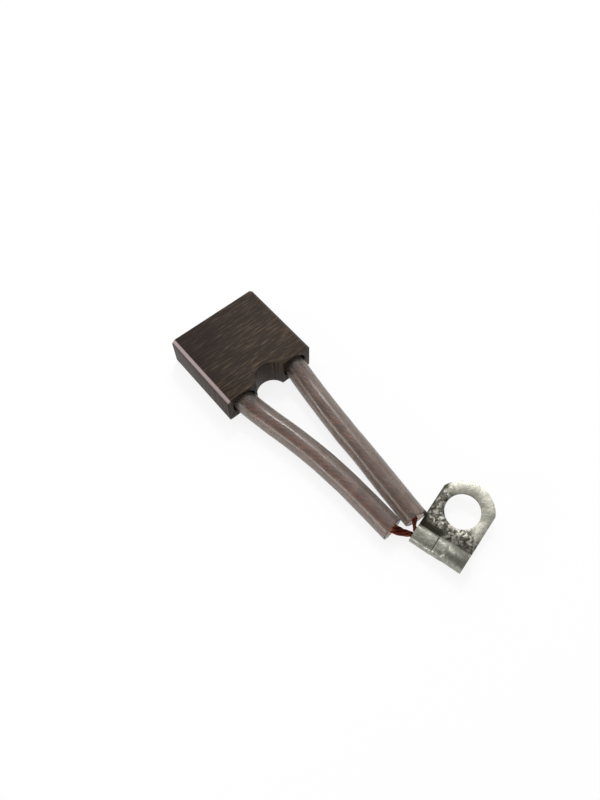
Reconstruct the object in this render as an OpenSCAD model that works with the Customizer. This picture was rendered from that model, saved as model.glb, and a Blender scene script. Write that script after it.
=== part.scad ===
// Carbon brush with two sleeved copper leads in one flag ring terminal.
// Millimetres, +Z up. The brush block stands square to the axes with the middle of its
// underside at the origin. Its leads leave toward -Y and its contact face looks toward +Y.

/* [Brush block] */
// Width of the block, across the two leads
block_w = 19.2; // [17:0.1:26]
// Length of the block, from the lead face to the contact face
block_l = 17.4; // [12:0.1:30]
// Thickness of the block
block_t = 6.4; // [5.6:0.1:9]
// Chamfer of the two long upper edges
upper_chamfer = 0.65; // [0.2:0.05:1]
// Chamfer of the two long lower edges
lower_chamfer = 0.25; // [0.1:0.05:0.6]

/* [Spring notch] */
// Radius of the round notch in the middle of the lead face
notch_r = 3.1; // [2.4:0.05:3.3]
// Depth of the notch, measured from the lead face
notch_depth = 2.35; // [0.8:0.05:3]

/* [Lead pockets] */
// Distance of each lead from the middle of the block
lead_offset = 6; // [5.9:0.05:6.4]
// Diameter of the pocket that each sleeve starts in
pocket_d = 5; // [5:0.1:5.2]
// Depth of the pocket
pocket_depth = 1.4; // [0.6:0.1:3]
// Depth of the hole that the conductor is bedded in, from the lead face
bed_depth = 8.5; // [4:0.1:10]

/* [Leads] */
// Diameter of each stranded copper conductor
shunt_d = 1.8; // [1.2:0.05:2]
// Gap between the conductor and the hole that it is bedded in
bed_gap = 0.03; // [0.01:0.01:0.1]
// Outer diameter of the insulating sleeves
sleeve_d = 4.4; // [3.4:0.05:4.4]
// Wall of the insulating sleeves
sleeve_wall = 0.7; // [0.3:0.05:0.8]

/* [Ring terminal] */
// Thickness of the terminal's sheet
sheet_t = 0.6; // [0.5:0.05:0.8]
// Diameter of the stud hole
stud_hole_d = 6.2; // [4.2:0.1:8]
// Diameter of the tongue's round end, which has the hole in its middle
ring_d = 10.8; // [10.7:0.1:14]
// Width of the tongue between its straight sides, which trim the round end
tongue_w = 9.9; // [9.8:0.1:10.6]
// Distance from the barrel's axis to the middle of the stud hole, along the tongue
tongue_reach = 7.5; // [7:0.1:12]
// Rise of the tongue from level
tongue_tilt = 12; // [0:1:15]
// Direction of the tongue, seen from above, from +X toward +Y
tongue_turn = 14; // [8:1:20]

/* [Terminal barrel] */
// Outer diameter of the rolled barrel
barrel_d = 3.7; // [3.3:0.05:4.4]
// Length of the barrel
barrel_l = 9.7; // [7:0.1:9.7]
// Length of the barrel's crimped part, from its mouth
crimp_l = 3.8; // [2.5:0.1:5]
// Length of the step at the end of the crimped part
step_l = 0.3; // [0.2:0.1:1]
// Share of the squeeze that is left after the step
step_share = 0.5; // [0.2:0.05:0.8]
// Length of the half-squeezed part after the step
neck_l = 1.4; // [0.6:0.1:2]
// Length of the slope from there to the round part
slope_l = 0.8; // [0.4:0.1:1.4]
// Width of the crimped part, along the tongue
crimp_w = 3.4; // [3:0.05:3.6]
// Height of the crimped part
crimp_h = 2.8; // [2.4:0.05:3]
// Squareness of the crimped part: 2 is an oval, more is squarer
crimp_power = 4; // [2:0.5:5]
// Gap between the rolled edge and the tongue
seam_gap = 0.12; // [0.05:0.01:0.3]
// Gap round each pressed bundle of strands
strand_gap = 0.03; // [0.01:0.01:0.1]
// Distance that the strands stop short of the barrel's far end
strand_setback = 0.8; // [0.2:0.1:2]

/* [Hidden] */
$fn = 96;
eps = 0.01;

// Place of the block's end that the leads come out of
lead_end_y = -8.7;

barrel_r = barrel_d / 2;
// Radius of the middle of the rolled sheet
sheet_r = barrel_r - sheet_t / 2;
// Distance that the barrel's far end stands back from the tongue's edge
far_setback = 0.05;
far_y = far_setback - tongue_w / 2;
mouth_y = far_y + barrel_l;
// Where the crimped part, its step, the half-squeezed neck and the slope end
crimp_y = mouth_y - crimp_l;
step_y = crimp_y - step_l;
neck_y = step_y - neck_l;
slope_y = neck_y - slope_l;
// Distance that the crimped part's middle lies behind the barrel's axis
crimp_shift = 0.2;
// Height of the tongue's upper side, from the barrel's axis
tongue_top = sheet_t - barrel_r;
// Height of the middle of the rolled sheet's free edge, from the barrel's axis
edge_z = tongue_top + seam_gap + 0.3 * sheet_t;
// Where the rolled sheet passes into the flat tongue, how far it goes on inside it, and
// how much thinner it ends there on each side
root_x = 0.9 * barrel_r;
root_lap = 0.3;
root_thin = 0.04;
// Straight stretch of the pressed strands outside the mouth
straight_l = 0.3;
// Place of the barrel's middle, whose height is the terminal's own: see lowest()
barrel_spot = [2, -51.15];

sleeve_sides = 12;
shunt_sides = 8;

// Each sleeve's first two points, at its end in the pocket and in the pocket's mouth: how
// far they lie from the pocket's axis toward the block's middle, and how far below it
LEFT_START = [[0.05, 0.1], [0.12, 0.2]];
RIGHT_START = [[0.02, 0.1], [0.06, 0.2]];
// Gap between the sleeve's end and the bottom of its pocket
sleeve_end_gap = 0.35;

// Middle of the left sleeve, from there to the terminal
LEFT_SLEEVE = [
    [-5.7, -9.9, 2.8], [-5.4, -11.3, 2.52],
    [-5, -13.2, 2.28], [-4.6, -15.4, 2.2],
    [-4.15, -17.6, 2.2], [-3.7, -19.9, 2.2], [-3.3, -22.3, 2.2], [-2.95, -24.8, 2.2],
    [-2.65, -27.4, 2.2], [-2.45, -30, 2.2], [-2.25, -32.7, 2.2], [-2.15, -35.4, 2.2],
    [-2.05, -38.2, 2.2], [-2, -41.2, 2.2], [-1.95, -44, 2.2]
];
// Middle of the right sleeve
RIGHT_SLEEVE = [
    [5.86, -9.9, 2.82], [5.72, -11.3, 2.52],
    [5.5, -13.4, 2.28], [5.2, -15.8, 2.2],
    [4.9, -18.3, 2.2], [4.6, -20.8, 2.2], [4.35, -23.3, 2.2], [4.1, -25.8, 2.2],
    [3.95, -28.3, 2.2], [3.75, -30.8, 2.2], [3.5, -33.3, 2.2], [3.25, -35.8, 2.2],
    [3, -38.3, 2.2], [2.8, -40.7, 2.2], [2.6, -43, 2.2], [2.45, -45.2, 2.2]
];
// Middle of the left conductor, between the pocket and the barrel's mouth
LEFT_SHUNT = [
    [-5.8, -9.7, 2.85], [-5.3, -12, 2.5], [-4.65, -14.5, 2.3], [-4.05, -17.4, 2.25],
    [-3.6, -20.2, 2.25], [-3.25, -23, 2.3], [-2.95, -26, 2.3], [-2.55, -29, 2.2],
    [-2.2, -32, 2.2], [-2, -35, 2.25], [-1.95, -38, 2.3], [-1.85, -41, 2.3],
    [-1.75, -43.5, 2.15], [-1.15, -44.8, 1.85], [-0.2, -46, 1.5]
];
// Middle of the right conductor
RIGHT_SHUNT = [
    [5.85, -9.7, 2.9], [5.75, -12, 2.5], [5.3, -14.6, 2.3], [4.9, -17.4, 2.2],
    [4.65, -20.2, 2.25], [4.45, -23, 2.25], [4.2, -26, 2.2], [3.85, -29, 2.2],
    [3.5, -32, 2.25], [3.3, -35, 2.3], [3.1, -38, 2.25], [2.85, -41, 2.2],
    [2.5, -43.6, 2.2], [2.2, -45.1, 2]
];

// ---- Functions and modules that skin a solid over rings of points ----

function unit(v) = v / norm(v);

function mix(a, b, share) = a + (b - a) * share;

// 0 before from, 1 after to, and a smooth rise between
function smooth(from, to, at) =
    let(t = min(max((at - from) / (to - from), 0), 1))
    t * t * (3 - 2 * t);

// Direction of the route at its point i
function heading(route, i) =
    unit(route[min(i + 1, len(route) - 1)] - route[max(i - 1, 0)]);

// One oval ring round the route's point i, the first point lowest; size is its half
// width and half height
function ring(route, i, size, sides) =
    let(
        ahead = heading(route, i),
        across = unit(cross(ahead, [0, 0, 1])),
        up = cross(across, ahead)
    )
    [for (k = [0 : sides - 1])
        let(a = 360 * k / sides)
        route[i] + size.x * sin(a) * across - size.y * cos(a) * up];

// Walls between two rings of n points, which start at points a and b of the list
function band(a, b, n) =
    [for (k = [0 : n - 1]) [a + k, a + (k + 1) % n, b + (k + 1) % n, b + k]];

// Face of a ring of n points that starts at point a, laced from its two ends like a shoe:
// this also fills the thin outline of a bent sheet
function laced(a, n) =
    [for (k = [0 : n / 2 - 2]) [a + k, a + k + 1, a + n - 2 - k, a + n - 1 - k]];

// A full solid over rings of equally many points, closed by its first and last ring
module skin(rings) {
    n = len(rings[0]);
    last = len(rings) - 1;
    walls = [for (i = [0 : last - 1]) each band(i * n, (i + 1) * n, n)];
    start = [for (f = laced(0, n)) [f[3], f[2], f[1], f[0]]];
    end = laced(last * n, n);
    polyhedron([for (r = rings) each r], concat(walls, start, end), convexity = 10);
}

// A hollow tube along a route
module tube(route, r, wall, sides) {
    n = len(route);
    inner = n * sides;
    points = concat(
        [for (i = [0 : n - 1]) each ring(route, i, [r, r], sides)],
        [for (i = [0 : n - 1]) each ring(route, i, [r - wall, r - wall], sides)]
    );
    outside = [for (i = [0 : n - 2]) each band(i * sides, (i + 1) * sides, sides)];
    inside = [for (i = [0 : n - 2])
        each band(inner + (i + 1) * sides, inner + i * sides, sides)];
    start = band(inner, 0, sides);
    end = band((n - 1) * sides, inner + (n - 1) * sides, sides);
    polyhedron(points, concat(outside, inside, start, end), convexity = 10);
}

// ---- Brush block ----

// Section across the leads, seen along Y
module block_section() {
    half = block_w / 2;
    polygon([
        [-half + lower_chamfer, 0],
        [half - lower_chamfer, 0],
        [half, lower_chamfer],
        [half, block_t - upper_chamfer],
        [half - upper_chamfer, block_t],
        [-half + upper_chamfer, block_t],
        [-half, block_t - upper_chamfer],
        [-half, lower_chamfer]
    ]);
}

// The pocket round one lead and the hole that its conductor is bedded in
module lead_seat(side) {
    translate([side * lead_offset, lead_end_y, block_t / 2])
        rotate([-90, 0, 0]) {
            translate([0, 0, -eps])
                cylinder(d = pocket_d, h = pocket_depth + eps);
            cylinder(d = shunt_d + 2 * bed_gap, h = bed_depth);
        }
}

module brush_body() {
    color("#453a31")
        difference() {
            translate([0, lead_end_y + block_l, 0])
                rotate([90, 0, 0])
                    linear_extrude(block_l) block_section();
            translate([0, lead_end_y + notch_depth - notch_r, -eps])
                cylinder(r = notch_r, h = block_t + 2 * eps);
            lead_seat(-1);
            lead_seat(1);
        }
}

// ---- Ring terminal: one stamped sheet, rolled into a barrel and crimped ----
// It is drawn round the barrel's axis, with the tongue along +X and the mouth at +Y.

module in_terminal_place() {
    translate([barrel_spot.x, barrel_spot.y, -lowest()])
        rotate([0, 0, tongue_turn])
            rotate([0, -tongue_tilt, 0])
                children();
}

// The same for a point
function terminal_place(p) =
    let(
        x = p.x * cos(tongue_tilt) - p.z * sin(tongue_tilt),
        z = p.x * sin(tongue_tilt) + p.z * cos(tongue_tilt)
    )
    [
        barrel_spot.x + x * cos(tongue_turn) - p.y * sin(tongue_turn),
        barrel_spot.y + x * sin(tongue_turn) + p.y * cos(tongue_turn),
        z - lowest()
    ];

// How far the barrel is squeezed at y: 0 where it is round, 1 where it is crimped
function squeeze(y) =
    step_share * smooth(slope_y, neck_y, y) + (1 - step_share) * smooth(step_y, crimp_y, y);

// Middle line of the barrel's sheet at y, as a rounded oblong that stands on the level of
// the tongue: [half width, half height, squareness, middle along X, middle along Z]
function oblong(y) =
    let(
        share = squeeze(y),
        high = mix(sheet_r, (crimp_h - sheet_t) / 2, share)
    )
    [mix(sheet_r, (crimp_w - sheet_t) / 2, share), high, mix(2, crimp_power, share),
        -crimp_shift * share, sheet_t / 2 - barrel_r + high];

function toward(v, power) = sign(v) * pow(abs(v), 2 / power);

// Point of the oblong o at an angle
function on_oblong(o, angle) =
    [o[3] + o[0] * toward(cos(angle), o[2]), o[4] + o[1] * toward(sin(angle), o[2])];

// Middle line of the whole section at y: from the tongue's root along the bottom, up the
// back, over the top and down the front to the free edge
function section_line(y, steps = 40) =
    let(
        o = oblong(y),
        edge = asin(pow((o[4] - edge_z) / o[1], o[2] / 2)),
        turn = 270 + edge
    )
    concat(
        [[root_x + root_lap, sheet_t / 2 - barrel_r]],
        [for (k = [0 : steps]) on_oblong(o, -90 - turn * k / steps)]
    );

// Direction square to the line at its point i, toward the inside of the roll
function inward(line, i) =
    let(v = unit(line[min(i + 1, len(line) - 1)] - line[max(i - 1, 0)]))
    [v.y, -v.x];

// Outline of the sheet at y, as points in space
function section(y) =
    let(
        line = section_line(y),
        last = len(line) - 1,
        to_side = [for (i = [0 : last])
            (sheet_t / 2 - (i == 0 ? root_thin : 0)) * inward(line, i)],
        sides = concat(
            [for (i = [0 : last]) line[i] + to_side[i]],
            [for (i = [last : -1 : 0]) line[i] - to_side[i]]
        )
    )
    [for (p = sides) [p.x, y, p.y]];

// Lowest point of the tilted barrel, which lies on the surface, from the barrel's axis
function lowest() =
    min([for (y = [far_y, neck_y, mouth_y], p = section(y))
        p.x * sin(tongue_tilt) + p.z * cos(tongue_tilt)]);

module barrel() {
    slope = [for (k = [0 : 5]) mix(slope_y, neck_y, k / 5)];
    step = [for (k = [0 : 4]) mix(step_y, crimp_y, k / 4)];
    skin([for (y = concat([far_y], slope, step, [mouth_y])) section(y)]);
}

// Flat tongue: a round end between straight sides, with shoulders down to the barrel
module tongue() {
    half = tongue_w / 2;
    translate([0, 0, -barrel_r]) {
        linear_extrude(sheet_t)
            polygon([
                [root_x, far_y - root_thin],
                [root_x + half + far_y, -half],
                [tongue_reach, -half],
                [tongue_reach, half],
                [root_x + half - mouth_y, half],
                [root_x, mouth_y + root_thin]
            ]);
        intersection() {
            translate([tongue_reach, 0]) cylinder(d = ring_d, h = sheet_t);
            translate([tongue_reach - half / 2, -half, 0])
                cube([ring_d, tongue_w, sheet_t]);
        }
    }
}

module terminal() {
    color("#b9b9b0")
        in_terminal_place() {
            barrel();
            difference() {
                tongue();
                translate([tongue_reach, 0, -barrel_r - 1])
                    cylinder(d = stud_hole_d, h = sheet_t + 2);
            }
        }
}

// ---- Conductors ----

// Half width and half height of one conductor's strands, pressed in the barrel at y:
// less high where the barrel is round
function pressed_size(y) =
    let(o = oblong(y), wide = o[0] - sheet_t / 2, high = o[1] - sheet_t / 2)
    [wide / 2 - strand_gap, high * mix(0.7, 1, squeeze(y)) - strand_gap];

// Middle of the strands of the conductor on one side, in the barrel at y
function pressed_middle(side, y) =
    let(o = oblong(y))
    [o[3] + side * (o[0] - sheet_t / 2) / 2, y, o[4]];

function pressed_ring(side, y) =
    let(m = pressed_middle(side, y), size = pressed_size(min(y, mouth_y)))
    [for (k = [0 : shunt_sides - 1])
        let(a = 360 * k / shunt_sides)
        terminal_place(m - [size.x * sin(a), 0, size.y * cos(a)])];

// One conductor, from the end of its bed to the barrel's far end
module shunt(side, free_route) {
    seat = [side * lead_offset, lead_end_y, block_t / 2];
    entry_y = mouth_y + straight_l;
    route = concat(
        [seat + [0, bed_depth, 0], seat + [0, pocket_depth, 0]],
        free_route,
        [terminal_place(pressed_middle(side, entry_y))]
    );
    last = len(route) - 1;
    loose = [shunt_d, shunt_d] / 2;
    // The last free points narrow to the pressed size
    free_rings = [for (i = [0 : last - 1])
        ring(route, i, mix(pressed_size(mouth_y), loose, min((last - i) / 3, 1)), shunt_sides)];
    pressed_rings = [for (y = [entry_y, mouth_y, crimp_y, neck_y, slope_y, far_y + strand_setback])
        pressed_ring(side, y)];
    color("#8a4a35") skin(concat(free_rings, pressed_rings));
}

module shunt_left() {
    shunt(-1, LEFT_SHUNT);
}

module shunt_right() {
    shunt(1, RIGHT_SHUNT);
}

// ---- Sleeves ----

// One sleeve, from the bottom of its pocket to its cut end beside the terminal
module sleeve(side, start, free_route) {
    ways_in = [pocket_depth - sleeve_end_gap, 0];
    in_pocket = [for (i = [0, 1])
        [side * (lead_offset - start[i].x), lead_end_y + ways_in[i], block_t / 2 - start[i].y]];
    color("#9a8680")
        tube(concat(in_pocket, free_route), sleeve_d / 2, sleeve_wall, sleeve_sides);
}

module sleeve_left() {
    sleeve(-1, LEFT_START, LEFT_SLEEVE);
}

module sleeve_right() {
    sleeve(1, RIGHT_START, RIGHT_SLEEVE);
}

brush_body();
shunt_left();
shunt_right();
sleeve_left();
sleeve_right();
terminal();
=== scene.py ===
# %% [markdown]
# # A carbon brush with two sleeved leads and a ring terminal
# A carbon brush carries current into a turning ring. This one is a pressed block of copper
# and graphite with two stranded copper leads bedded in its end. Each lead runs in a smoky
# plastic sleeve, and both are crimped into the barrel of one tinned ring terminal.
# The CAD model gives every size. This script keeps its block and terminal, builds the
# leads and the sleeves again with their strands and walls, and gives each its finish.

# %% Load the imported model, which is the fixed frame
from math import cos, pi, radians, sin

import bpy
from mathutils import Matrix, Vector, noise


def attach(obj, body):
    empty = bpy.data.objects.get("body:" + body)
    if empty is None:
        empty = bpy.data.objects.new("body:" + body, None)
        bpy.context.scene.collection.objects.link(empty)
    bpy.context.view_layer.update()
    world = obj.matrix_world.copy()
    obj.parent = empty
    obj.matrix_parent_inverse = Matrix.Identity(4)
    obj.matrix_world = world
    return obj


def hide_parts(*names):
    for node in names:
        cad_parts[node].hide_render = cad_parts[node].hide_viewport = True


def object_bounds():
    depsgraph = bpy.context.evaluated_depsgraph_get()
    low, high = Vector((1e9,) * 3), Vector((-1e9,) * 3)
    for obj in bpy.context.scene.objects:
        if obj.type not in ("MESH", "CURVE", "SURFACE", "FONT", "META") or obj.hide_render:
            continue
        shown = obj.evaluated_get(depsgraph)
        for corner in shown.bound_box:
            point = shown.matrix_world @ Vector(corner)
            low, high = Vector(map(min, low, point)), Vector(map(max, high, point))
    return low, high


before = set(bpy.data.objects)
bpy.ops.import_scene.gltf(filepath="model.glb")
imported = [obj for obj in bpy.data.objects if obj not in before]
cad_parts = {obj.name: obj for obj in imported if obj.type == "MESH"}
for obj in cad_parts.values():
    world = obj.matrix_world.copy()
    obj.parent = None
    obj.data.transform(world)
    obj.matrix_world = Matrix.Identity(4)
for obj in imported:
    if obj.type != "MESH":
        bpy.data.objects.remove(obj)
scene = bpy.context.scene
cad_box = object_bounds()
print("CAD box, mm:", [[round(v * 1000, 2) for v in corner] for corner in cad_box])

# %% [markdown]
# ## The camera
# A small thing is usually photographed from above and to one side. The camera is set by
# the three angles a photographer would name: how far round, how high up, and how much
# the camera is rolled. Turning an upright camera by them, one after another, is easier to
# read than one list of Euler angles.

# %% Camera
MM = 0.001
AROUND, HEIGHT, ROLL = radians(-38.87), radians(60.32), radians(-1.14)

camera = bpy.data.objects.new("camera", bpy.data.cameras.new("camera"))
camera.data.lens = 31.8
camera.data.clip_start = 0.005
camera.matrix_world = (
    Matrix.Translation(Vector((-38.48, -65.25, 116.09)) * MM)
    @ Matrix.Rotation(AROUND, 4, "Z")
    @ Matrix.Rotation(pi / 2 - HEIGHT, 4, "X")
    @ Matrix.Rotation(ROLL, 4, "Z")
)
scene.collection.objects.link(camera)
scene.camera = camera
print("camera, mm:", [round(v / MM, 1) for v in camera.location])

# %% [markdown]
# ## The route of each sleeve and lead
# A lead is stiff enough to keep the bends it was pushed into, so each one follows its own
# route from the block to the crimp. The routes repeat the CAD model's points. A sleeve
# is a little looser than its lead, so the lead wanders inside it.
# Straight pieces between the points would show as kinks. A Catmull-Rom curve passes
# through every point and bends smoothly in between.

# %% Routes, in millimetres, and a smooth curve through them
LEFT_SLEEVE = [
    (-5.95, -7.65, 3.1), (-5.88, -8.7, 3), (-5.7, -9.9, 2.8), (-5.4, -11.3, 2.52),
    (-5, -13.2, 2.28), (-4.6, -15.4, 2.2),
    (-4.15, -17.6, 2.2), (-3.7, -19.9, 2.2), (-3.3, -22.3, 2.2), (-2.95, -24.8, 2.2),
    (-2.65, -27.4, 2.2), (-2.45, -30, 2.2), (-2.25, -32.7, 2.2), (-2.15, -35.4, 2.2),
    (-2.05, -38.2, 2.2), (-2, -41.2, 2.2), (-1.95, -44, 2.2),
]
RIGHT_SLEEVE = [
    (5.98, -7.65, 3.1), (5.94, -8.7, 3), (5.86, -9.9, 2.82), (5.72, -11.3, 2.52),
    (5.5, -13.4, 2.28), (5.2, -15.8, 2.2),
    (4.9, -18.3, 2.2), (4.6, -20.8, 2.2), (4.35, -23.3, 2.2), (4.1, -25.8, 2.2),
    (3.95, -28.3, 2.2), (3.75, -30.8, 2.2), (3.5, -33.3, 2.2), (3.25, -35.8, 2.2),
    (3, -38.3, 2.2), (2.8, -40.7, 2.2), (2.6, -43, 2.2), (2.45, -45.2, 2.2),
]
LEFT_LEAD = [
    (-6, -0.2, 3.2), (-6, -7.3, 3.2),
    (-5.8, -9.7, 2.85), (-5.3, -12, 2.5), (-4.65, -14.5, 2.3), (-4.05, -17.4, 2.25),
    (-3.6, -20.2, 2.25), (-3.25, -23, 2.3), (-2.95, -26, 2.3), (-2.55, -29, 2.2),
    (-2.2, -32, 2.2), (-2, -35, 2.25), (-1.95, -38, 2.3), (-1.85, -41, 2.3),
    (-1.75, -43.5, 2.15), (-1.15, -44.8, 1.85), (-0.2, -46, 1.5),
]
RIGHT_LEAD = [
    (6, -0.2, 3.2), (6, -7.3, 3.2),
    (5.85, -9.7, 2.9), (5.75, -12, 2.5), (5.3, -14.6, 2.3), (4.9, -17.4, 2.2),
    (4.65, -20.2, 2.25), (4.45, -23, 2.25), (4.2, -26, 2.2), (3.85, -29, 2.2),
    (3.5, -32, 2.25), (3.3, -35, 2.3), (3.1, -38, 2.25), (2.85, -41, 2.2),
    (2.5, -43.6, 2.2), (2.2, -45.1, 2),
]


def smooth_route(points, steps):
    """The route's points, with steps - 1 more between each two on a Catmull-Rom curve."""
    points = [Vector(p) for p in points]
    before = [2 * points[0] - points[1]] + points[:-1]
    after = points[1:] + [2 * points[-1] - points[-2]]
    found = []
    for i in range(len(points) - 1):
        a, b, c, d = before[i], points[i], points[i + 1], after[i + 1]
        for k in range(steps):
            t = k / steps
            found.append(
                0.5 * (2 * b + (c - a) * t + (2 * a - 5 * b + 4 * c - d) * t * t
                       + (3 * b - a - 3 * c + d) * t ** 3)
            )
    return found + [points[-1]]


def route_length(points):
    return sum((b - a).length for a, b in zip(points, points[1:]))


for title, route in (("left", LEFT_SLEEVE), ("right", RIGHT_SLEEVE)):
    print(title, "sleeve, mm:", round(route_length(smooth_route(route, 4)), 2))

# %% [markdown]
# ## The ring terminal's own directions
# The terminal lies turned and tilted on the table. Its barrel, its crimp and the worn
# places of its tin are easier to say in its own directions: along the tongue, along the
# barrel towards its mouth, and up from the sheet. One matrix turns those into the scene's.

# %% Terminal directions
TONGUE_TURN, TONGUE_TILT = radians(14), radians(12)
BARREL_MIDDLE = Vector((2, -51.15, 1.996))
terminal_place = (
    Matrix.Translation(BARREL_MIDDLE)
    @ Matrix.Rotation(TONGUE_TURN, 4, "Z")
    @ Matrix.Rotation(-TONGUE_TILT, 4, "Y")
)
along_tongue, towards_mouth, up_from_sheet = terminal_place.to_3x3().transposed()
print("tongue points along", [round(v, 3) for v in along_tongue])

# %% [markdown]
# ## Skinning rings of points
# Sleeves and strands are both long, round and slightly uneven. A curve with a bevel makes
# a perfect pipe, but not a wall with a cut end or a strand that is squeezed flat.
# Rings of points laced with quads give both, and the faces carry a UV map: across is
# once round, and along is real millimetres.

# %% Lace rings of points into a mesh
def lace(rings, lengths, close_ends):
    """Points, faces and UVs of a skin over the rings; lengths are the way along, in mm."""
    sides = len(rings[0])
    points = [p for ring in rings for p in ring]
    faces, uvs = [], []
    for i in range(len(rings) - 1):
        for k in range(sides):
            n = (k + 1) % sides
            faces.append((i * sides + n, i * sides + k, (i + 1) * sides + k, (i + 1) * sides + n))
            uvs.append([((k + 1) / sides, lengths[i]), (k / sides, lengths[i]),
                        (k / sides, lengths[i + 1]), ((k + 1) / sides, lengths[i + 1])])
    if close_ends:
        last = len(points) - sides
        faces.append(tuple(range(sides)))
        faces.append(tuple(reversed(range(last, last + sides))))
        uvs += [[(k / sides, lengths[0]) for k in range(sides)],
                [(k / sides, lengths[-1]) for k in reversed(range(sides))]]
    return points, faces, uvs


def make_piece(name, skins):
    """One smooth-shaded object from several skins, whose points are in millimetres."""
    points, faces, uvs = [], [], []
    for skin_points, skin_faces, skin_uvs in skins:
        first = len(points)
        points += [p * MM for p in skin_points]
        faces += [tuple(first + k for k in face) for face in skin_faces]
        uvs += skin_uvs
    mesh = bpy.data.meshes.new(name)
    mesh.from_pydata(points, [], faces)
    layer = mesh.uv_layers.new(name="along_and_round")
    layer.data.foreach_set("uv", [v for face in uvs for corner in face for v in corner])
    mesh.polygons.foreach_set("use_smooth", [True] * len(faces))
    mesh.update()
    piece = bpy.data.objects.new(name, mesh)
    scene.collection.objects.link(piece)
    return piece


def way_along(points):
    """How far along the route each of its points lies."""
    found = [0.0]
    for a, b in zip(points, points[1:]):
        found.append(found[-1] + (b - a).length)
    return found


def directions(route, i):
    """Ahead, across and up at the route's point i; across stays level."""
    ahead = (route[min(i + 1, len(route) - 1)] - route[max(i - 1, 0)]).normalized()
    across = ahead.cross(Vector((0, 0, 1))).normalized()
    return ahead, across, across.cross(ahead)


print("helpers ready")

# %% [markdown]
# ## The sleeves
# The sleeve is a thin-walled tube of soft PVC, cut with scissors. A real wall matters here:
# the light goes in through the outer face and out through the inner one before it reaches
# the copper. So the skin runs down the outside, turns over a small rounded rim at the
# cut, comes back along the bore and turns again. The cut is a few degrees off square, and
# the tube has slight waves where it was bent.

# %% Sleeve tubes
SLEEVE_R, SLEEVE_BORE_R = 2.2, 1.5


def sleeve_tube(name, route, lean_near, lean_far, seed):
    """A thick-walled tube on the route; the leans tilt its two cuts, in mm at the edge."""
    route = smooth_route(route, 6)
    ways = way_along(route)
    sides = 56
    rim = 0.16
    middle = (SLEEVE_R + SLEEVE_BORE_R) / 2

    def ring(i, radius, shift):
        ahead, across, up = directions(route, i)
        # A cut leans fully at its end and not at all two diameters further in
        near = max(0, 1 - ways[i] / 9) ** 2
        far = max(0, 1 - (ways[-1] - ways[i]) / 9) ** 2
        found = []
        for k in range(sides):
            a = 2 * pi * k / sides
            side = across * sin(a) - up * cos(a)
            wave = noise.noise(Vector((sin(a), cos(a), ways[i] * 0.16 + seed))) * 0.05
            reach = radius - (0.03 + wave if radius > middle else 0.02)
            lean = (lean_near * near + lean_far * far) * sin(a) * radius / SLEEVE_R
            found.append(route[i] + side * reach + ahead * (shift + lean))
        return found

    last = len(route) - 1
    rings, lengths = [], []
    for i in range(last + 1):
        shift = {0: rim, last: -rim}.get(i, 0)
        rings.append(ring(i, SLEEVE_R, shift))
        lengths.append(ways[i] + shift)
    for radius, shift in ((SLEEVE_R - 0.05, -0.05), (middle, 0), (SLEEVE_BORE_R + 0.05, -0.05)):
        rings.append(ring(last, radius, shift))
        lengths.append(ways[last])
    for i in range(last, -1, -1):
        shift = {0: rim, last: -rim}.get(i, 0)
        rings.append(ring(i, SLEEVE_BORE_R, shift))
        lengths.append(ways[i] + shift)
    for radius, shift in ((SLEEVE_BORE_R + 0.05, 0.05), (middle, 0), (SLEEVE_R - 0.05, 0.05)):
        rings.append(ring(0, radius, shift))
        lengths.append(ways[0])
    rings.append(rings[0])
    lengths.append(lengths[0])
    piece = make_piece(name, [lace(rings, lengths, False)])
    weld = piece.modifiers.new("close_the_skin", "WELD")
    weld.merge_threshold = 0.002 * MM
    return piece, route


left_sleeve, left_route = sleeve_tube("left_sleeve", LEFT_SLEEVE, 0.1, 0.25, 3.1)
right_sleeve, right_route = sleeve_tube("right_sleeve", RIGHT_SLEEVE, -0.1, -0.2, 8.7)
print("sleeve faces:", len(left_sleeve.data.polygons), len(right_sleeve.data.polygons))

# %% [markdown]
# ## The stranded leads
# Flexible lead is a rope of very fine wires: bundles of them are laid together with a
# twist, so that the rope can bend with the brush for years. Six bundles laid round a
# seventh show that lay, and the single wires are left to the surface finish. The crimp
# presses the rope into a narrow oval, so each bundle's section is squeezed with it.
# Each strand is skinned on its own helix. Strands in the free stretch are a little loose.

# %% Stranded leads
LEAD_R = 0.9
LAY = 9.0  # way along the rope, in mm, in which a bundle goes once round
MOUTH_Y, CRIMP_Y, NECK_Y, SLOPE_Y, LEAD_END_Y = 4.8, 1.0, -0.7, -1.5, -4.1


def ease(low, high, at):
    """0 before low, 1 after high, and a smooth rise in between."""
    t = min(max((at - low) / (high - low), 0), 1)
    return t * t * (3 - 2 * t)


def lead_sections(free_route, side):
    """Middle, across, up, half width and half height of the rope, all the way along it."""
    free = smooth_route(free_route, 5)
    found = []
    for i, middle in enumerate(free):
        _, across, up = directions(free, i)
        found.append((middle, across, up, LEAD_R, LEAD_R))
    ways = way_along(free)
    # The last of the free stretch narrows to the pressed size
    for i, (middle, across, up, _, _) in enumerate(found):
        press = ease(ways[-1] - 3, ways[-1] + 0.5, ways[i])
        found[i] = (middle, across, up, LEAD_R - 0.38 * press, LEAD_R - 0.13 * press)
    steps = 26
    for k in range(steps + 1):
        y = MOUTH_Y + 0.3 + (LEAD_END_Y - MOUTH_Y - 0.3) * k / steps
        # 1 in the crimped part, 0 in the round part
        press = (ease(SLOPE_Y, NECK_Y, y) + ease(CRIMP_Y - 0.3, CRIMP_Y, y)) / 2
        x = (0.625 - 0.075 * press) * side - 0.2 * press
        middle = terminal_place @ Vector((x, y, -0.45 * press))
        across, up = -along_tongue, up_from_sheet
        found.append((middle, across, up, 0.585 - 0.075 * press, 0.835 - 0.075 * press))
    return found


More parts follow.
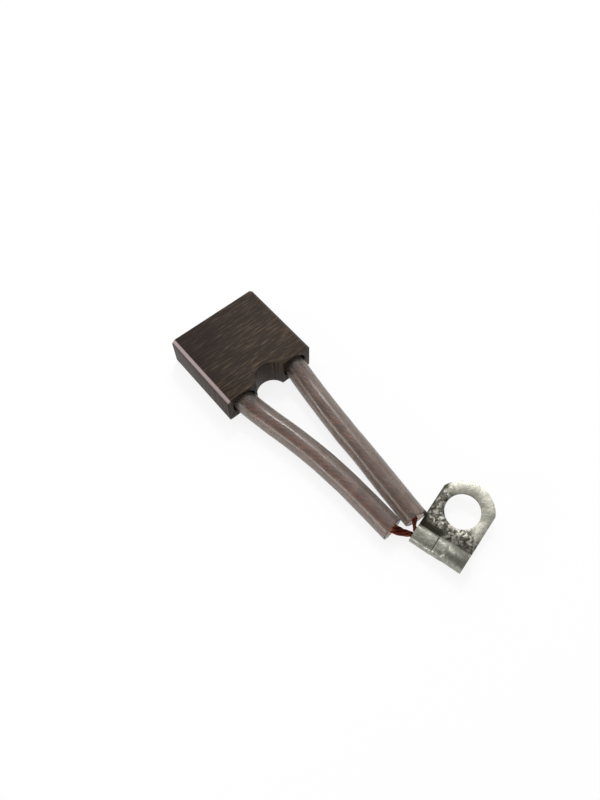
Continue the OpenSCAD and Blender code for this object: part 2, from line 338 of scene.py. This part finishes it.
def strand(sections, ways, start, distance, share, seed):
    """One bundle of wires at a share of the way out from the rope's middle."""
    sides = 12
    rings = []
    last = len(sections) - 1
    for i, (middle, across, up, half_width, half_height) in enumerate(sections):
        turn = 2 * pi * (ways[i] / LAY + start)
        loose = 0.07 * noise.noise(Vector((seed, start * 7, ways[i] * 0.55)))
        turn += loose * 2.2
        reach = distance * (1 + loose * 0.5)
        ring = []
        for k in range(sides):
            a = 2 * pi * k / sides
            u = reach * sin(turn) + share * sin(a)
            v = reach * cos(turn) + share * cos(a)
            ring.append(middle + across * (u * half_width) - up * (v * half_height))
        rings.append(ring)
    # Rounded ends
    for end, inner in ((0, 1), (last, last - 1)):
        centre = sum(rings[end], Vector()) / sides
        rings[end] = [centre + (p - centre) * 0.7 for p in rings[end]]
    return lace(rings, ways, True)


def stranded_lead(name, free_route, side, seed):
    sections = lead_sections(free_route, side)
    ways = way_along([s[0] for s in sections])
    skins = [strand(sections, ways, 0, 0, 0.36, seed)]
    for k in range(6):
        skins.append(strand(sections, ways, k / 6, 0.655, 0.335, seed + k))
    return make_piece(name, skins), ways[-1]


left_lead, left_length = stranded_lead("left_lead", LEFT_LEAD, -1, 1.7)
right_lead, right_length = stranded_lead("right_lead", RIGHT_LEAD, 1, 5.3)
print("rope lengths, mm:", round(left_length, 1), round(right_length, 1))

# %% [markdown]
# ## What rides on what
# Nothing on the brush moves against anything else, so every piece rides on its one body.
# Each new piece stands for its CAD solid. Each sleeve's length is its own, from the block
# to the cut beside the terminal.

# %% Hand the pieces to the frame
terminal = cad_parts["terminal"]
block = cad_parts["brush_body"]

for piece, node, finish in (
    (left_sleeve, "sleeve_left", "smoky_sleeve"),
    (right_sleeve, "sleeve_right", "smoky_sleeve"),
    (left_lead, "shunt_left", "copper_strands"),
    (right_lead, "shunt_right", "copper_strands"),
):
    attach(piece, "root")
    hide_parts(node)

# %% [markdown]
# ## Softened edges on the block and the terminal
# No pressed or stamped edge is perfectly sharp, and a small round catches a line of light.
# The CAD faces meet in sharp edges, and their corners aren't joined across faces, so the
# points are welded first and then every sharp edge gets a narrow bevel. As modifiers, both
# leave the CAD mesh as it is.

# %% Weld and bevel
def soften_edges(piece, width, sharper_than, segments):
    weld = piece.modifiers.new("join_points", "WELD")
    weld.merge_threshold = 0.001 * MM
    bevel = piece.modifiers.new("soften_edges", "BEVEL")
    bevel.width = width * MM
    bevel.segments = segments
    bevel.limit_method = "ANGLE"
    bevel.angle_limit = radians(sharper_than)
    bevel.harden_normals = True
    for face in piece.data.polygons:
        face.use_smooth = True
    print(piece.name, "edges rounded to", width, "mm")


soften_edges(block, 0.12, 25, 3)
soften_edges(terminal, 0.05, 40, 2)

# %% [markdown]
# ## Materials: two small helpers
# Every colour is written as the sRGB hex value that a paint shop would give, and shaders
# work in linear light, so one function turns one into the other. A second one adds a
# node, sets it and links it in one call, which keeps each material short enough to read
# from top to bottom.

# %% Colour and node helpers
def linear(hex_colour):
    """A #rrggbb sRGB colour as linear RGBA."""
    parts = [int(hex_colour[i:i + 2], 16) / 255 for i in (1, 3, 5)]
    return (*[p / 12.92 if p <= 0.04045 else ((p + 0.055) / 1.055) ** 2.4 for p in parts], 1)


def add_node(material, kind, inputs=(), stops=(), **settings):
    """One node: settings are its properties, and inputs its sockets' values or links."""
    made = material.node_tree.nodes.new("ShaderNode" + kind)
    for name, value in settings.items():
        setattr(made, name, value)
    for socket, value in dict(inputs).items():
        if isinstance(value, bpy.types.NodeSocket):
            material.node_tree.links.new(value, made.inputs[socket])
        else:
            made.inputs[socket].default_value = value
    for i, (at, colour) in enumerate(stops):
        if i > 1:
            made.color_ramp.elements.new(at)
        made.color_ramp.elements[i].position = at
        made.color_ramp.elements[i].color = linear(colour)
    return made


def new_material(name):
    """An empty material, and its Principled shader linked to the output."""
    material = bpy.data.materials.new(name)
    material.use_nodes = True
    material.node_tree.nodes.clear()
    shader = add_node(material, "BsdfPrincipled")
    add_node(material, "OutputMaterial", {"Surface": shader.outputs[0]})
    return material, shader


def give(piece, material):
    piece.data.materials.clear()
    piece.data.materials.append(material)
    print(piece.name, "is", material.name)


print("#808080 is", round(linear("#808080")[0], 3), "in linear light")

# %% [markdown]
# ## Pressed copper-graphite
# The block is copper and graphite powder, pressed and sintered. Graphite makes it dark and
# a little silky, copper makes it brown, and the grinding wheel leaves drag lines over its
# flat faces, a few degrees askew of its width. The press has drawn other lines down its
# walls. Noises that are stretched along those ways draw both: the ground lines are about
# 0.25 mm apart, the pressed ones 0.4 mm, and both come and go over a few millimetres.
# The specks of copper powder are drawn 0.15 mm across, coarser than the real grains, so
# that they show.
# The upper edge of the left side is painted a pale pinkish grey: a painted highlight for the line of
# light it catches.

# %% Copper-graphite
graphite, shader = new_material("pressed_copper_graphite")
place = add_node(graphite, "TexCoord").outputs["Object"]
in_mm = add_node(graphite, "VectorMath", {0: place, "Scale": 1 / MM}, operation="SCALE").outputs[0]
# How many lines or patches fit in a millimetre, along each way
GROUND_LINES, PRESSED_LINES = (0.3, 4.4, 2.0), (2.6, 2.6, 0.16)
GROUND_ASKEW = radians(11)
PATCHES, GRAINS = 0.16, 6.5
askew = add_node(graphite, "Mapping", {
    "Vector": in_mm, "Rotation": (0, 0, GROUND_ASKEW), "Scale": GROUND_LINES}).outputs[0]
drag_lines = add_node(graphite, "TexNoise", {
    "Vector": askew, "Scale": 1.0, "Detail": 2.0, "Roughness": 0.7})
drawn = add_node(graphite, "VectorMath", {
    0: in_mm, 1: PRESSED_LINES}, operation="MULTIPLY").outputs[0]
wall_lines = add_node(graphite, "TexNoise", {
    "Vector": drawn, "Scale": 1.0, "Detail": 2.0, "Roughness": 0.6})
patches = add_node(graphite, "TexNoise", {"Vector": in_mm, "Scale": PATCHES, "Detail": 2.0})
grains = add_node(graphite, "TexNoise", {
    "Vector": in_mm, "Scale": GRAINS, "Detail": 2.0, "Roughness": 0.65})

facing = add_node(graphite, "SeparateXYZ", {0: add_node(graphite, "NewGeometry").outputs["Normal"]})
axes = add_node(graphite, "SeparateXYZ", {0: in_mm})
on_top = add_node(graphite, "MapRange", {
    "Value": add_node(graphite, "Math", {0: facing.outputs[2]}, operation="ABSOLUTE").outputs[0],
    "From Min": 0.35, "From Max": 0.8})
lines = add_node(graphite, "Mix", {
    0: on_top.outputs[0], 2: wall_lines.outputs["Fac"], 3: drag_lines.outputs["Fac"]})

# The face is redder and darker towards the contact end, and paler towards the leads
towards_leads = add_node(graphite, "Math", {
    0: axes.outputs[0], 1: axes.outputs[1]}, operation="SUBTRACT")
lead_end = add_node(graphite, "MapRange", {
    "Value": towards_leads.outputs[0], "From Min": -14.0, "From Max": 12.0})
shade = add_node(graphite, "Math", {
    0: lead_end.outputs[0], 1: patches.outputs["Fac"]}, operation="ADD")
base = add_node(graphite, "ValToRGB", {"Fac": add_node(graphite, "Math", {
    0: shade.outputs[0], 1: 0.5}, operation="MULTIPLY").outputs[0]},
    stops=((0.25, "#251814"), (0.5, "#2c2119"), (0.75, "#33281f")))
line_strength = add_node(graphite, "MapRange", {
    "Value": lines.outputs[0], "From Min": 0.5, "From Max": 0.78})
shown_lines = add_node(graphite, "Math", {
    0: line_strength.outputs[0],
    1: add_node(graphite, "MapRange", {"Value": shade.outputs[0], "From Min": 0.6, "From Max": 1.2,
                                       "To Min": 0.35, "To Max": 1.0}).outputs[0]}, operation="MULTIPLY")
lined = add_node(graphite, "Mix", {
    0: shown_lines.outputs[0], 6: base.outputs[0], 7: linear("#75604d")}, data_type="RGBA")
copper_specks = add_node(graphite, "MapRange", {
    "Value": grains.outputs["Fac"], "From Min": 0.62, "From Max": 0.76, "To Max": 0.35})
specked = add_node(graphite, "Mix", {
    0: copper_specks.outputs[0], 6: lined.outputs[2], 7: linear("#8a5f48")}, data_type="RGBA")
# Painted highlight: the left side's upper edge is painted a pale pinkish grey.
on_left = add_node(graphite, "MapRange", {"Value": axes.outputs[0], "From Min": -8.85, "From Max": -9.0})
on_edge = add_node(graphite, "MapRange", {"Value": axes.outputs[2], "From Min": 5.78, "From Max": 6.02})
painted_edge_highlight = add_node(graphite, "Math", {
    0: on_left.outputs[0], 1: on_edge.outputs[0]}, operation="MULTIPLY")
coloured = add_node(graphite, "Mix", {
    0: painted_edge_highlight.outputs[0], 6: specked.outputs[2], 7: linear("#b5a4a2")}, data_type="RGBA")
roughness = add_node(graphite, "MapRange", {
    "Value": grains.outputs["Fac"], "To Min": 0.42, "To Max": 0.62})
line_bump = add_node(graphite, "Bump", {
    "Height": lines.outputs[0], "Strength": 0.5, "Distance": 0.05 * MM})
grain_bump = add_node(graphite, "Bump", {
    "Height": grains.outputs["Fac"], "Strength": 0.4, "Distance": 0.03 * MM,
    "Normal": line_bump.outputs[0]})
for socket, value in (("Base Color", coloured.outputs[2]), ("Roughness", roughness.outputs[0]),
                      ("Normal", grain_bump.outputs[0])):
    graphite.node_tree.links.new(value, shader.inputs[socket])
shader.inputs["Metallic"].default_value = 0.1
shader.inputs["Specular IOR Level"].default_value = 0.18
give(block, graphite)

# %% [markdown]
# ## Bare copper strands
# Soft copper wire, drawn bright and then darkened by air. A metal has its colour
# in its reflection, so metallic is 1. The wires in each bundle are about 0.1 mm thick and
# wind round it; a wave along the UV map draws them, tipped to give the wind, and the
# valleys between the wires are painted dark red-brown as painted shade. The oxide is
# a darker red-brown and gathers in patches of a few millimetres. Where the strands leave
# the sleeves and run to the crimp, they lie in shadow, and are painted a deep red-brown:
# painted shade.

# %% Copper
copper, shader = new_material("drawn_copper_strands")
uv = add_node(copper, "UVMap", uv_map="along_and_round").outputs[0]
split = add_node(copper, "SeparateXYZ", {0: uv})
# Twelve wires round a bundle; one turn of them takes 6 mm
wires = add_node(copper, "Math", {0: split.outputs[0], 1: 12.0}, operation="MULTIPLY")
wound = add_node(copper, "Math", {0: split.outputs[1], 1: 12.0 / 6.0, 2: wires.outputs[0]},
                 operation="MULTIPLY_ADD")
ridge = add_node(copper, "Math", {0: wound.outputs[0], 1: 0.5}, operation="PINGPONG")
place = add_node(copper, "TexCoord").outputs["Object"]
in_mm = add_node(copper, "VectorMath", {0: place, "Scale": 1 / MM}, operation="SCALE").outputs[0]
oxide = add_node(copper, "TexNoise", {"Vector": in_mm, "Scale": 0.42, "Detail": 3.0})
tone = add_node(copper, "ValToRGB", {"Fac": oxide.outputs["Fac"]},
                stops=((0.36, "#c0684a"), (0.62, "#f3ae84")))
# Painted shade: from the sleeves' ends to the crimp the strands are painted a deep red-brown, for the
# shadow they lie in.
painted_crimp_shade = add_node(copper, "MapRange", {
    "Value": add_node(copper, "SeparateXYZ", {0: in_mm}).outputs[1],
    "From Min": -43.2, "From Max": -44.6}, interpolation_type="SMOOTHSTEP")
shaded_copper_tone = add_node(copper, "ValToRGB", {"Fac": oxide.outputs["Fac"]},
                      stops=((0.4, "#4a1f15"), (0.6, "#8a4430")))
copper_with_painted_shade = add_node(copper, "Mix", {
    0: painted_crimp_shade.outputs[0], 6: tone.outputs[0], 7: shaded_copper_tone.outputs[0]}, data_type="RGBA")
# Painted shade: the valleys between the wires are painted dark red-brown.
painted_groove_shade = add_node(copper, "MapRange", {"Value": ridge.outputs[0], "From Max": 0.22})
wired = add_node(copper, "Mix", {0: painted_groove_shade.outputs[0], 6: linear("#5a2418"), 7: copper_with_painted_shade.outputs[2]},
                 data_type="RGBA")
wire_bump = add_node(copper, "Bump", {
    "Height": ridge.outputs[0], "Strength": 0.6, "Distance": 0.06 * MM})
for socket, value in (("Base Color", wired.outputs[2]), ("Normal", wire_bump.outputs[0])):
    copper.node_tree.links.new(value, shader.inputs[socket])
shader.inputs["Metallic"].default_value = 1.0
shader.inputs["Roughness"].default_value = 0.38
for lead in (left_lead, right_lead):
    give(lead, copper)

# %% [markdown]
# ## Smoky PVC sleeve
# Clear soft PVC that has gone grey with heat and copper dust. Light passes through it but
# is scattered at its dull surface, so the strands inside show as soft coppery waves.
# Most of the shader is transmission with a rough surface; the rest is the milky body of
# the plastic. The smoke itself is in the wall: an absorbing volume darkens the light by
# how much plastic it crosses, 1.4 mm in and out at the middle and over 3 mm at the edge,
# which is why the edges look darker. Its IOR is that of plasticised PVC.

# %% Smoky sleeve
smoky, shader = new_material("extruded_smoky_pvc")
place = add_node(smoky, "TexCoord").outputs["Object"]
in_mm = add_node(smoky, "VectorMath", {0: place, "Scale": 1 / MM}, operation="SCALE").outputs[0]
cloud = add_node(smoky, "TexNoise", {"Vector": in_mm, "Scale": 0.35, "Detail": 3.0})
tint = add_node(smoky, "ValToRGB", {"Fac": cloud.outputs["Fac"]},
                stops=((0.35, "#cdbdb2"), (0.65, "#e2d2c8")))
haze = add_node(smoky, "MapRange", {
    "Value": cloud.outputs["Fac"], "From Min": 0.3, "From Max": 0.7,
    "To Min": 0.18, "To Max": 0.3})
for socket, value in (("Base Color", tint.outputs[0]), ("Roughness", haze.outputs[0])):
    smoky.node_tree.links.new(value, shader.inputs[socket])
shader.inputs["Transmission Weight"].default_value = 0.85
shader.inputs["IOR"].default_value = 1.45
smoke = add_node(smoky, "VolumeAbsorption", {"Color": linear("#8a7f7a"), "Density": 750.0})
output = next(n for n in smoky.node_tree.nodes if n.type == "OUTPUT_MATERIAL")
smoky.node_tree.links.new(smoke.outputs[0], output.inputs["Volume"])
for sleeve in (left_sleeve, right_sleeve):
    give(sleeve, smoky)

# %% [markdown]
# ## Hot-tinned sheet
# The terminal is stamped from copper sheet and dipped in molten tin. Tin is a pale, warm
# grey metal; where the dip pooled and was wiped it froze in bright and dull blotches of
# about half a millimetre. The barrel is painted a duller, darker grey than the tongue, partly
# as painted shade. The tongue's cut edges are painted dark, a painted reflection, and the
# sheet beside the barrel is painted dark greenish grey, a painted shade. The patterns are
# placed in the terminal's own directions, so the blotches lie where the dip left them.

# %% Tinned sheet
tinned, shader = new_material("hot_tinned_sheet")
place = add_node(tinned, "TexCoord").outputs["Object"]
own = add_node(tinned, "Mapping", {
    "Vector": place, "Location": BARREL_MIDDLE * MM,
    "Rotation": terminal_place.to_euler(), "Scale": (MM, MM, MM)}, vector_type="TEXTURE").outputs[0]
own_axes = add_node(tinned, "SeparateXYZ", {0: own})
tongue_way, barrel_way = own_axes.outputs[0], own_axes.outputs[1]
fine = add_node(tinned, "TexNoise", {
    "Vector": own, "Scale": 1.5, "Detail": 3.0, "Roughness": 0.55, "Distortion": 0.6})
broad = add_node(tinned, "TexNoise", {"Vector": own, "Scale": 0.35, "Detail": 2.0})

pale = add_node(tinned, "ValToRGB", {"Fac": broad.outputs["Fac"]},
                stops=((0.38, "#bfbdae"), (0.62, "#d6d4c6")))
blotches = add_node(tinned, "ValToRGB", {"Fac": fine.outputs["Fac"]},
                    stops=((0.38, "#45433b"), (0.50, "#77746c"), (0.62, "#cbc8bc")))
# Blotches reach further along the tongue on its mouth side than on the other
askew_way = add_node(tinned, "Math", {
    0: barrel_way, 1: -0.6, 2: tongue_way}, operation="MULTIPLY_ADD")
pooled = add_node(tinned, "MapRange", {
    "Value": askew_way.outputs[0], "From Min": 8.6, "From Max": 6.2}, interpolation_type="SMOOTHSTEP")
sheet_tone = add_node(tinned, "Mix", {
    0: pooled.outputs[0], 6: pale.outputs[0], 7: blotches.outputs[0]}, data_type="RGBA")
# Beside the pressed half of the barrel and along the tongue's mouth side, the sheet is
# painted a dark greenish grey: painted shade where the barrel shades it
beside = add_node(tinned, "MapRange", {
    "Value": tongue_way, "From Min": 3.5, "From Max": 2.6}, interpolation_type="SMOOTHSTEP")
pressed_half = add_node(tinned, "MapRange", {
    "Value": barrel_way, "From Min": 0.2, "From Max": 1.4}, interpolation_type="SMOOTHSTEP")
wavy_barrel_way = add_node(tinned, "Math", {
    0: broad.outputs["Fac"], 1: 1.6, 2: barrel_way}, operation="MULTIPLY_ADD")
by_mouth_side = add_node(tinned, "MapRange", {
    "Value": wavy_barrel_way.outputs[0], "From Min": 4.9, "From Max": 5.7},
    interpolation_type="SMOOTHSTEP")
by_barrel = add_node(tinned, "Math", {
    0: beside.outputs[0], 1: pressed_half.outputs[0]}, operation="MULTIPLY")
painted_shade_by_barrel = add_node(tinned, "Math", {
    0: by_barrel.outputs[0], 1: by_mouth_side.outputs[0]}, operation="MAXIMUM")
with_dark = add_node(tinned, "Mix", {
    0: painted_shade_by_barrel.outputs[0], 6: sheet_tone.outputs[2], 7: linear("#4c4b41")}, data_type="RGBA")
# The barrel is painted duller and darker than the tongue, partly as painted shade
on_barrel = add_node(tinned, "MapRange", {
    "Value": tongue_way, "From Min": 1.9, "From Max": 1.4}, interpolation_type="SMOOTHSTEP")
barrel_tone = add_node(tinned, "ValToRGB", {"Fac": fine.outputs["Fac"]},
                       stops=((0.35, "#84837a"), (0.65, "#a3a298")))
with_barrel = add_node(tinned, "Mix", {
    0: on_barrel.outputs[0], 6: with_dark.outputs[2], 7: barrel_tone.outputs[0]}, data_type="RGBA")
# Painted reflection: the tongue's cut edges are painted dark grey, for the dark that their rounded sides
# reflect.
upright = add_node(tinned, "VectorMath", {
    0: add_node(tinned, "NewGeometry").outputs["Normal"], 1: up_from_sheet}, operation="DOT_PRODUCT")
cut_edge = add_node(tinned, "MapRange", {
    "Value": add_node(tinned, "Math", {0: upright.outputs["Value"]}, operation="ABSOLUTE").outputs[0],
    "From Min": 0.55, "From Max": 0.35})
on_tongue = add_node(tinned, "MapRange", {"Value": tongue_way, "From Min": 2.2, "From Max": 2.6})
painted_edge_reflection = add_node(tinned, "Math", {
    0: cut_edge.outputs[0], 1: on_tongue.outputs[0]}, operation="MULTIPLY")
finished = add_node(tinned, "Mix", {
    0: painted_edge_reflection.outputs[0], 6: with_barrel.outputs[2], 7: linear("#4a473e")}, data_type="RGBA")
tin_bump = add_node(tinned, "Bump", {
    "Height": fine.outputs["Fac"], "Strength": 0.5, "Distance": 0.12 * MM})
tin_rough = add_node(tinned, "MapRange", {
    "Value": fine.outputs["Fac"], "From Min": 0.3, "From Max": 0.7, "To Min": 0.5, "To Max": 0.3})
for socket, value in (("Base Color", finished.outputs[2]), ("Roughness", tin_rough.outputs[0]),
                      ("Normal", tin_bump.outputs[0])):
    tinned.node_tree.links.new(value, shader.inputs[socket])
shader.inputs["Metallic"].default_value = 1.0
give(terminal, tinned)

# %% [markdown]
# ## The table and the light
# Small parts are shown on a plain white sweep. The sheet is a white floor that still takes
# the object's shadow; part of its white is given straight to the camera and to
# reflections, so that the white stays even without more light on the object. One large
# soft lamp hangs overhead and a little behind, a smaller one behind the brush draws the highlights on the
# barrel, and a low strip at the left draws a line along the sleeves and along the block's
# left upper edge, where a painted highlight adds to it.

# %% White floor
floor_mesh = bpy.data.meshes.new("floor")
half = 0.9
floor_mesh.from_pydata(
    [(-half, -half, 0), (half, -half, 0), (half, half, 0), (-half, half, 0)], [], [(0, 1, 2, 3)])
floor = bpy.data.objects.new("floor", floor_mesh)
floor.location.z = -0.00002
scene.collection.objects.link(floor)

paper = bpy.data.materials.new("matt_white_paper")
paper.use_nodes = True
paper.node_tree.nodes.clear()
rays = add_node(paper, "LightPath").outputs
seen = add_node(paper, "Math", {0: rays["Is Camera Ray"], 1: rays["Is Glossy Ray"]}, operation="MAXIMUM")
seen = add_node(paper, "Math", {0: seen.outputs[0], 1: rays["Is Transmission Ray"]}, operation="MAXIMUM")
matt = add_node(paper, "BsdfDiffuse", {"Color": linear("#f4f4f2")})
shown = add_node(paper, "BsdfDiffuse", {"Color": linear("#7e7e7e")})
glow = add_node(paper, "Emission", {"Color": (1, 1, 1, 1), "Strength": 0.84})
bright = add_node(paper, "AddShader", {0: shown.outputs[0], 1: glow.outputs[0]})
both = add_node(paper, "MixShader", {0: seen.outputs[0], 1: matt.outputs[0], 2: bright.outputs[0]})
add_node(paper, "OutputMaterial", {"Surface": both.outputs[0]})
give(floor, paper)

# %% World and lamps
ROOM_LIGHT = 0.3
world = bpy.data.worlds.new("white_room")
scene.world = world
world.use_nodes = True
world.node_tree.nodes.clear()
rays = add_node(world, "LightPath").outputs
seen = add_node(world, "Math", {
    0: rays["Is Glossy Ray"], 1: rays["Is Transmission Ray"]}, operation="MAXIMUM")
# The room is white towards its walls, and dimmer overhead, where the big lamp hangs
way_up = add_node(world, "SeparateXYZ", {0: add_node(world, "TexCoord").outputs["Generated"]}).outputs[2]
wall = add_node(world, "MapRange", {
    "Value": way_up, "From Min": 0.05, "From Max": 0.4, "To Min": 1.0, "To Max": ROOM_LIGHT})
mirrored = add_node(world, "Mix", {
    0: seen.outputs[0], 2: ROOM_LIGHT, 3: wall.outputs[0]})
strength = add_node(world, "Mix", {
    0: rays["Is Camera Ray"], 2: mirrored.outputs[0], 3: 1.0})
room = add_node(world, "Background", {"Color": (1, 1, 1, 1), "Strength": strength.outputs[0]})
add_node(world, "OutputWorld", {"Surface": room.outputs[0]})


def soft_lamp(name, power, width, depth, place, target):
    """A rectangular lamp, sizes and place in metres, turned to face its target."""
    lamp = bpy.data.objects.new(name, bpy.data.lights.new(name, "AREA"))
    lamp.data.energy = power
    lamp.data.shape = "RECTANGLE"
    lamp.data.size, lamp.data.size_y = width, depth
    lamp.location = place
    lamp.rotation_euler = (Vector(place) - Vector(target)).to_track_quat("Z", "Y").to_euler()
    scene.collection.objects.link(lamp)
    print(name, power, "W, which is", round(power / (pi * width * depth), 2), "in brightness")


middle = (cad_box[0] + cad_box[1]) / 2
soft_lamp("overhead_lamp", 2.4, 0.9, 0.9, (0.2, 0.3, 0.45), middle)
soft_lamp("back_lamp", 0.3, 0.06, 0.06, (0.17, 0.15, 0.35), middle)
soft_lamp("left_strip", 0.45, 0.30, 0.08, (-0.36, 0.13, 0.09), middle)
scene.view_settings.view_transform = "Standard"
